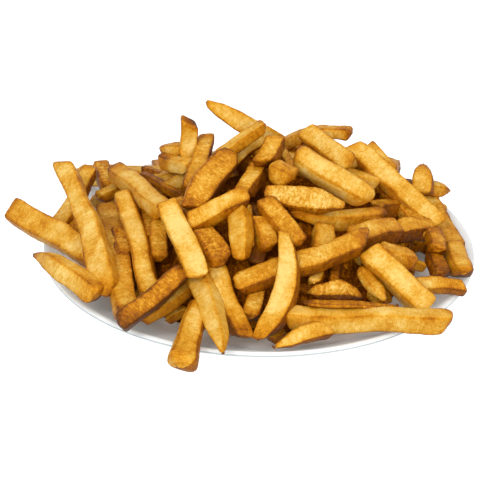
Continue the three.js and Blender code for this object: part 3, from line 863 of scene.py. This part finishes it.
def frying_group():
    """Node group: how brown a fry is at each place, with painted shade in its furrows, and the height of its
    wrinkles and blisters.
    """
    group = bpy.data.node_groups.new("frying", "ShaderNodeTree")
    for name in BROWNING:
        group.interface.new_socket(name, in_out="INPUT", socket_type="NodeSocketFloat")
    for name in ("Brown", "Height", "Shine"):
        group.interface.new_socket(name, in_out="OUTPUT", socket_type="NodeSocketFloat")
    given = add_node(group, "NodeGroupInput", (-1900, 0)).outputs
    made = add_node(group, "NodeGroupOutput", (1000, 0)).inputs
    fibre = add_node(group, "ShaderNodeAttribute", (-1900, 300), attribute_name="fibre").outputs["Vector"]
    edge, tip, tone, crust = (
        add_node(group, "ShaderNodeAttribute", (-1900, 450 + 150 * row), attribute_name=name).outputs["Fac"]
        for row, name in enumerate(("edge", "tip", "tone", "crust"))
    )

    along_way = stretched(group, fibre, (0.3, 1.0, 1.0), (-1700, 300))
    across_way = stretched(group, fibre, (1.0, 0.45, 0.45), (-1700, 0))
    blotches = noised(group, fibre, (-1400, 800), scale=75.0, detail=2.0)
    streaks = noised(group, along_way, (-1400, 600), scale=420.0, detail=3.0, roughness=0.6, distortion=0.5)
    mottling = noised(group, fibre, (-1400, 400), scale=700.0, detail=5.0, roughness=0.75)
    specks = noised(group, fibre, (-1400, 200), scale=1700.0, detail=3.0, roughness=0.7)
    wrinkles = noised(group, across_way, (-1400, 0), scale=620.0, detail=5.0, roughness=0.7, distortion=0.8)
    pimples = noised(group, fibre, (-1400, -200), scale=520.0, detail=3.0, roughness=0.6)

    # Each kind of unevenness is centred, so that it browns some places and bleaches others.
    parts = []
    for row, (pattern, share) in enumerate(
        ((blotches, "Blotches"), (streaks, "Mottle"), (mottling, "Mottle"), (specks, "Speckle"))
    ):
        centred = mathed(group, "SUBTRACT", pattern, 0.5, (-1100, 800 - 160 * row))
        parts.append(mathed(group, "MULTIPLY", centred, given[share], (-900, 800 - 160 * row)))

    # Furrows between the wrinkles are browner, and more so on a blistered fry: painted shade in the creases.
    furrows = mathed(group, "SUBTRACT", FURROW_LEVEL, wrinkles, (-1100, 100))
    depth = mathed(group, "ADD", crust, PLAIN_FURROWS, (-1000, 50))
    parts.append(mathed(group, "MULTIPLY", furrows, depth, (-700, 100)))

    # Pimples are darker where they rise, on a blistered fry alone.
    raised = mathed(group, "SUBTRACT", pimples, 0.5, (-1100, -100))
    raised = mathed(group, "MULTIPLY", raised, crust, (-900, -100))
    parts.append(mathed(group, "MULTIPLY", raised, PIMPLE_BROWNING, (-700, -100)))

    # The browning of the long edges comes and goes with the blotches.
    patchy = mathed(group, "MULTIPLY", blotches, PATCH_CONTRAST, (-1250, 950))
    patchy = mathed(group, "ADD", patchy, PATCH_SHIFT, (-1100, 950))
    patchy = mathed(group, "MAXIMUM", patchy, LEAST_PATCH, (-1000, 950))
    broken = mathed(group, "MULTIPLY", edge, patchy, (-900, 950))
    parts.append(mathed(group, "MULTIPLY", broken, given["Edge browning"], (-700, 950)))

    unevenly = mathed(group, "ADD", mottling, TIP_LEVEL, (-1100, 1100))
    charred = mathed(group, "MULTIPLY", tip, unevenly, (-900, 1100))
    parts.append(mathed(group, "MULTIPLY", charred, given["Tip browning"], (-700, 1100)))
    brown = tone
    for step, part in enumerate(parts):
        brown = mathed(group, "ADD", brown, part, (-400 + 160 * step, 600))
    group.links.new(brown, made["Brown"])

    crusty = mathed(group, "ADD", crust, PLAIN_PIMPLES, (-900, -300))
    crusty = mathed(group, "MULTIPLY", pimples, crusty, (-700, -300))
    fine = mathed(group, "MULTIPLY", mottling, MOTTLE_HEIGHT, (-700, -450))
    finest = mathed(group, "MULTIPLY", specks, SPECK_HEIGHT, (-700, -600))
    height = mathed(group, "MULTIPLY", wrinkles, WRINKLE_HEIGHT, (-700, -150))
    for step, part in enumerate((crusty, fine, finest)):
        height = mathed(group, "ADD", height, part, (-400 + 160 * step, -300))
    group.links.new(height, made["Height"])
    group.links.new(mottling, made["Shine"])
    return group


def fried_material(name, settings, roughness, gloss):
    """Fried potato: the frying group's browning, and painted shade where it is seen edge-on, through a range
    of colours, under a thin film of oil.
    """
    material, tree, shader = new_material(name)
    frying = bpy.data.node_groups.get("frying") or frying_group()
    fried = add_node(tree, "ShaderNodeGroup", (-900, 200), node_tree=frying)
    set_inputs(fried, {socket: getattr(settings, setting) for socket, setting in BROWNING.items()})
    # Painted shade: browner where the surface is seen edge-on, towards its outline.
    aslant = add_node(tree, "ShaderNodeLayerWeight", (-1100, 500))
    set_inputs(aslant, {"Blend": 0.25})
    deeper = mathed(tree, "MULTIPLY", aslant.outputs["Facing"], ASLANT_SHADE, (-900, 500))
    brown = mathed(tree, "ADD", fried.outputs["Brown"], deeper, (-750, 400))
    stops = [(place, getattr(settings, colour)) for colour, place in BROWN_STOPS.items()]
    tree.links.new(ramped(tree, brown, stops, (-600, 300)), shader.inputs["Base Color"])
    shine = mathed(tree, "MULTIPLY", fried.outputs["Shine"], SHINE_SPREAD, (-600, 0))
    shine = mathed(tree, "ADD", shine, roughness - 0.5 * SHINE_SPREAD, (-400, 0))
    tree.links.new(shine, shader.inputs["Roughness"])
    bump = add_node(tree, "ShaderNodeBump", (-300, -200))
    set_inputs(bump, {"Strength": 1.0, "Distance": 0.0009})
    tree.links.new(fried.outputs["Height"], bump.inputs["Height"])
    crust = add_node(tree, "ShaderNodeAttribute", (-600, -400), attribute_name="crust").outputs["Fac"]
    tree.links.new(mathed(tree, "MULTIPLY", crust, 0.5 * gloss, (-300, -400)), shader.inputs["Coat Weight"])
    for normal in ("Normal", "Coat Normal"):
        tree.links.new(bump.outputs["Normal"], shader.inputs[normal])
    oil_and_flesh = {
        "Coat Roughness": 0.25,
        "Specular IOR Level": gloss,
        "Specular Tint": srgb(255, 214, 130),
        "Subsurface Weight": 0.1,
        "Subsurface Radius": (1.0, 0.45, 0.12),
        "Subsurface Scale": 0.0015,
    }
    set_inputs(shader, oil_and_flesh)
    return material


def glaze_material(settings):
    """White glaze with faint clouds, painted warm bounce light under the food, and a thin grey line round the
    lip.
    """
    material, tree, shader = new_material("white_glaze")
    place = add_node(tree, "ShaderNodeTexCoord", (-1200, 0)).outputs["Object"]
    clouding = noised(tree, place, (-1000, 200), scale=25.0, detail=2.0)
    clouds = ramped(tree, clouding, ((0.3, settings.clouded_glaze), (0.7, settings.glaze)), (-700, 200))

    # Millimetres from the plate's middle tell the lip and the part under the food, with its painted bounce
    # light.
    far = add_node(tree, "ShaderNodeVectorMath", (-1000, -100), operation="LENGTH")
    tree.links.new(stretched(tree, place, (1 / MM, 1 / MM, 0.0), (-1200, -100)), far.inputs[0])
    outside = mathed(tree, "GREATER_THAN", far.outputs["Value"], PLATE_RADIUS - LIP_RADIUS, (-800, -100))
    height = add_node(tree, "ShaderNodeSeparateXYZ", (-1000, -300))
    tree.links.new(place, height.inputs["Vector"])
    below = mathed(tree, "SUBTRACT", height.outputs["Z"], LIP_LINE_HEIGHT * MM, (-800, -300))
    below = mathed(tree, "ABSOLUTE", below, 0.0, (-600, -300))
    near = mathed(tree, "LESS_THAN", below, 0.5 * LIP_LINE * MM, (-400, -300))
    line = mathed(tree, "MULTIPLY", outside, near, (-500, -100))
    cooler = add_node(tree, "ShaderNodeMapRange", (-800, 500), interpolation_type="SMOOTHSTEP")
    set_inputs(cooler, {"From Min": WARM_RADIUS, "From Max": COOL_RADIUS})
    tree.links.new(far.outputs["Value"], cooler.inputs["Value"])

    # Painted bounce light: the glaze is warm under the food and cool out at the rim.
    toned = add_node(tree, "ShaderNodeMix", (-550, 400), data_type="RGBA")
    tree.links.new(cooler.outputs["Result"], toned.inputs["Factor"])
    set_inputs(toned, {"A": settings.bounce_warmed_glaze})
    tree.links.new(clouds, toned.inputs["B"])
    lined = add_node(tree, "ShaderNodeMix", (-400, 200), data_type="RGBA")
    tree.links.new(line, lined.inputs["Factor"])
    tree.links.new(toned.outputs["Result"], lined.inputs["A"])
    set_inputs(lined, {"B": settings.lip_line})
    tree.links.new(lined.outputs["Result"], shader.inputs["Base Color"])
    waves = add_node(tree, "ShaderNodeBump", (-300, -200))
    set_inputs(waves, {"Strength": 0.05, "Distance": 0.001})
    tree.links.new(clouding, waves.inputs["Height"])
    tree.links.new(waves.outputs["Normal"], shader.inputs["Normal"])
    glaze_and_body = {
        "Roughness": 0.18,
        "Subsurface Weight": 0.8,
        "Subsurface Radius": (1.0, 0.95, 0.9),
        "Subsurface Scale": 0.015,
    }
    set_inputs(shader, glaze_and_body)
    return material


def floor_material():
    """A pale floor that glows, and that the camera sees as white."""
    material, tree, shader = new_material("pale_floor")
    place = add_node(tree, "ShaderNodeTexCoord", (-1000, 0)).outputs["Object"]
    clouding = noised(tree, place, (-800, 0), scale=3.0, detail=2.0)
    tint = ramped(tree, clouding, ((0.3, srgb(170, 170, 170)), (0.7, srgb(176, 176, 176))), (-500, 0))
    tree.links.new(tint, shader.inputs["Base Color"])
    tree.links.new(tint, shader.inputs["Emission Color"])
    seen = add_node(tree, "ShaderNodeLightPath", (-800, -300)).outputs["Is Camera Ray"]
    glow = mathed(tree, "MULTIPLY", seen, FLOOR_GLOW_SEEN - FLOOR_GLOW, (-600, -300))
    glow = mathed(tree, "ADD", glow, FLOOR_GLOW, (-400, -300))
    tree.links.new(glow, shader.inputs["Emission Strength"])
    set_inputs(shader, {"Roughness": 0.9, "Specular IOR Level": 0.0})
    return material


# ---- Settings ----


def count_setting(name, description, default, least):
    return bpy.props.IntProperty(name=name, description=description, default=default, min=least)


def amount_setting(name, description, default, least=0, unit="NONE"):
    return bpy.props.FloatProperty(name=name, description=description, default=default, min=least, unit=unit)


def colour_setting(name, description, *channels):
    return bpy.props.FloatVectorProperty(
        name=name, description=description, default=srgb(*channels), size=4, min=0, max=1, subtype="COLOR"
    )


class PlateSettings(bpy.types.PropertyGroup):
    sides: count_setting("Sides", "Facets round the plate", PLATE_SIDES, 24)
    glaze: colour_setting("Glaze", "Colour of the rim", 240, 250, 255)
    clouded_glaze: colour_setting("Clouded glaze", "Colour of the rim's faint clouds", 232, 245, 253)
    # Painted warm light bounced from the fries onto the glaze.
    bounce_warmed_glaze: colour_setting("Bounce-warmed glaze", "Colour under the food", 255, 242, 232)
    lip_line: colour_setting("Lip line", "Colour of the line round the lip", 160, 178, 186)


class FriesSettings(bpy.types.PropertyGroup):
    long_cuts: count_setting("Cuts along a long fry", "Rings of faces along a long fry", 96, 8)
    short_cuts: count_setting("Cuts along a short fry", "Rings of faces along a short fry", 44, 8)
    cuts_across: count_setting("Cuts across a face", "Cuts across each side of a fry", 8, 2)
    edge_browning: amount_setting("Edge browning", "How much browner the long edges are", 0.75)
    tip_browning: amount_setting("Tip browning", "How much browner the ends are", 0.6)
    blotches: amount_setting("Blotches", "Broad unevenness", 0.7)
    mottle: amount_setting("Mottle", "Unevenness of colour", 0.28)
    speckle: amount_setting("Speckle", "Fine specks of colour", 0.6)
    palest: colour_setting("Palest", "Colour of barely fried potato", 244, 209, 124)
    yellow: colour_setting("Yellow", "Colour of lightly fried potato", 228, 174, 62)
    golden: colour_setting("Golden", "Colour of well fried potato", 210, 140, 18)
    tanned: colour_setting("Tanned", "Colour of the crust", 180, 107, 4)
    browned: colour_setting("Browned", "Colour of dark crust", 138, 74, 3)
    darkest: colour_setting("Darkest", "Colour of the darkest edges and ends", 92, 44, 3)


class StageSettings(bpy.types.PropertyGroup):
    key_power: amount_setting("Key light", "Power of the main softbox", 9.5, unit="POWER")
    fill_power: amount_setting("Fill light", "Power of the fill softbox", 5.0, unit="POWER")
    front_power: amount_setting("Front light", "Power of the low softbox in front", 5.0, unit="POWER")
    top_power: amount_setting("Top light", "Power of the softbox overhead", 6.0, unit="POWER")
    surround: amount_setting("Surround", "Light from all round", 0.45)
    floor_size: amount_setting("Floor size", "Side of the square floor", 6.0, least=1, unit="LENGTH")


# ---- Operators ----


class FRIES_OT_plate(bpy.types.Operator):
    """Turns the plate and glazes it"""

    bl_idname = "fries.plate"
    bl_label = "Plate"

    def execute(self, context):
        settings = context.scene.plate_settings
        plate = ring_extruded("plate_dish", plate_profile(), settings.sides)
        bpy.ops.object.shade_smooth_by_angle(angle=PLATE_CREASE)
        plate.data.materials.append(glaze_material(settings))
        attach(plate, "root")
        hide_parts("plate")
        return {"FINISHED"}


class FRIES_OT_core(bpy.types.Operator):
    """Shapes the core of the heap, which the fries cover, dark brown as painted shade deep in the gaps"""

    bl_idname = "fries.core"
    bl_label = "Inside of the heap"

    def execute(self, context):
        core = ring_extruded("heap_inside", core_profile(), CORE_SIDES)
        for vertex in core.data.vertices:
            x, y = vertex.co.x / MM, vertex.co.y / MM
            floor = plate_top(math.hypot(x, y)) + 2 * GAP
            lump = CORE_LUMP * noise.noise(Vector((x, y, 0)) / CORE_WAVE)
            height = max(floor + CORE_EDGE, heap_height(x, y) - CORE_DEPTH + lump)
            vertex.co.z = (height if vertex.co.z > 0.5 * MM else floor) * MM
        bpy.ops.object.shade_smooth_by_angle(angle=CORE_CREASE)
        places = np.array([vertex.co for vertex in core.data.vertices])
        # Painted shade: the core takes its dark tone.
        store_frying(core.data, places, edge=0.0, tip=0.0, tone=CORE_SHADE_TONE, crust=1.0)
        settings = context.scene.fries_settings
        core.data.materials.append(fried_material("fried_inside", settings, CORE_ROUGHNESS, CORE_GLOSS))
        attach(core, "root")
        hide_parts("fries_heap")
        return {"FINISHED"}


class FRIES_OT_right(bpy.types.Operator):
    """Lays the fries on the right of the heap"""

    bl_idname = "fries.right"
    bl_label = "Fries on the right"

    def execute(self, context):
        lay_fries("fries_right", FRONT_RIGHT + RIGHT_SIDE, 1)
        return {"FINISHED"}


class FRIES_OT_top(bpy.types.Operator):
    """Lays the fries on top of the heap"""

    bl_idname = "fries.top"
    bl_label = "Fries on top"

    def execute(self, context):
        lay_fries("fries_top", RIGHT_TOP + LEFT_TOP + BETWEEN, 101)
        return {"FINISHED"}


class FRIES_OT_front(bpy.types.Operator):
    """Lays the fries at the front and the left of the heap"""

    bl_idname = "fries.front"
    bl_label = "Fries at the front and left"

    def execute(self, context):
        lay_fries("fries_front", FRONT_MIDDLE + LEFT_SIDE, 201)
        return {"FINISHED"}


class FRIES_OT_back(bpy.types.Operator):
    """Strews the fries over the back slope, and others under them"""

    bl_idname = "fries.back"
    bl_label = "Fries at the back"

    def execute(self, context):
        over = strewn(BACK)
        lay_fries("fries_back", over + strewn_below(BACK_UNDER, PLACED + over), 301, coarser=2)
        return {"FINISHED"}


class FRIES_OT_inner(bpy.types.Operator):
    """Strews the fries inside the heap, which the gaps show"""

    bl_idname = "fries.inner"
    bl_label = "Fries inside"

    def execute(self, context):
        lay_fries("fries_inner", strewn_below(INNER, PLACED), 401, coarser=2, gloss=INNER_GLOSS)
        return {"FINISHED"}


def surround_world(strength):
    """An even white surround, which the camera sees as full white."""
    world = bpy.data.worlds.new("surround")
    world.use_nodes = True
    tree = world.node_tree
    background = tree.nodes["Background"]
    background.inputs["Color"].default_value = (1.0, 1.0, 1.0, 1.0)
    seen = add_node(tree, "ShaderNodeLightPath", (-600, 0)).outputs["Is Camera Ray"]
    glow = mathed(tree, "MULTIPLY", seen, 1.0 - strength, (-400, 0))
    tree.links.new(mathed(tree, "ADD", glow, strength, (-200, 0)), background.inputs["Strength"])
    return world


def add_softbox(name, softbox, power):
    """A square light that faces the middle of the heap."""
    data = bpy.data.lights.new(name, "AREA")
    data.shape = "SQUARE"
    data.size = softbox.size
    data.energy = power
    data.color = softbox.colour
    lamp = bpy.data.objects.new(name, data)
    lamp.location = softbox.place
    lamp.rotation_euler = (Vector(LIT_PLACE) - Vector(softbox.place)).to_track_quat("-Z", "Y").to_euler()
    bpy.context.collection.objects.link(lamp)


def add_camera():
    data = bpy.data.cameras.new("camera")
    data.lens = CAMERA_LENS
    camera = bpy.data.objects.new("camera", data)
    aim = (Vector(CAMERA_TARGET) - Vector(CAMERA_PLACE)).to_track_quat("-Z", "Y").to_matrix().to_4x4()
    camera.matrix_world = Matrix.Translation(CAMERA_PLACE) @ aim @ Matrix.Rotation(CAMERA_ROLL, 4, "Z")
    bpy.context.collection.objects.link(camera)
    bpy.context.scene.camera = camera


class FRIES_OT_stage(bpy.types.Operator):
    """Sets the floor, the soft lights and the camera"""

    bl_idname = "fries.stage"
    bl_label = "Stage"

    def execute(self, context):
        settings = context.scene.stage_settings
        deselect_all()
        bpy.ops.mesh.primitive_plane_add(size=settings.floor_size, location=(0, 0, -FLOOR_DROP))
        floor = context.object
        floor.name = "floor"
        bpy.ops.object.transform_apply(location=True)
        floor.data.materials.append(floor_material())
        for name, softbox in SOFTBOXES.items():
            add_softbox(name + "_softbox", softbox, getattr(settings, name + "_power"))
        context.scene.world = surround_world(settings.surround)
        context.scene.view_settings.view_transform = "Standard"
        add_camera()
        return {"FINISHED"}


OPERATORS = (
    FRIES_OT_plate,
    FRIES_OT_core,
    FRIES_OT_inner,
    FRIES_OT_back,
    FRIES_OT_right,
    FRIES_OT_top,
    FRIES_OT_front,
    FRIES_OT_stage,
)
SETTINGS = {
    "plate_settings": PlateSettings,
    "fries_settings": FriesSettings,
    "stage_settings": StageSettings,
}


class FRIES_PT_panel(bpy.types.Panel):
    """Lists the pieces of the portion"""

    bl_idname = "FRIES_PT_panel"
    bl_label = "French fries portion"
    bl_space_type = "VIEW_3D"
    bl_region_type = "UI"
    bl_category = "Fries"

    def draw(self, context):
        for operator in OPERATORS:
            self.layout.operator(operator.bl_idname)
        for name, group in SETTINGS.items():
            settings = getattr(context.scene, name)
            for entry in group.__annotations__:
                self.layout.prop(settings, entry)


def register():
    for name, group in SETTINGS.items():
        bpy.utils.register_class(group)
        setattr(bpy.types.Scene, name, bpy.props.PointerProperty(type=group))
    for operator in OPERATORS:
        bpy.utils.register_class(operator)
    bpy.utils.register_class(FRIES_PT_panel)


def unregister():
    bpy.utils.unregister_class(FRIES_PT_panel)
    for operator in reversed(OPERATORS):
        bpy.utils.unregister_class(operator)
    for name, group in SETTINGS.items():
        delattr(bpy.types.Scene, name)
        bpy.utils.unregister_class(group)


def main():
    register()
    for operator in OPERATORS:
        group, name = operator.bl_idname.split(".")
        getattr(getattr(bpy.ops, group), name)()


if __name__ == "__main__":
    main()
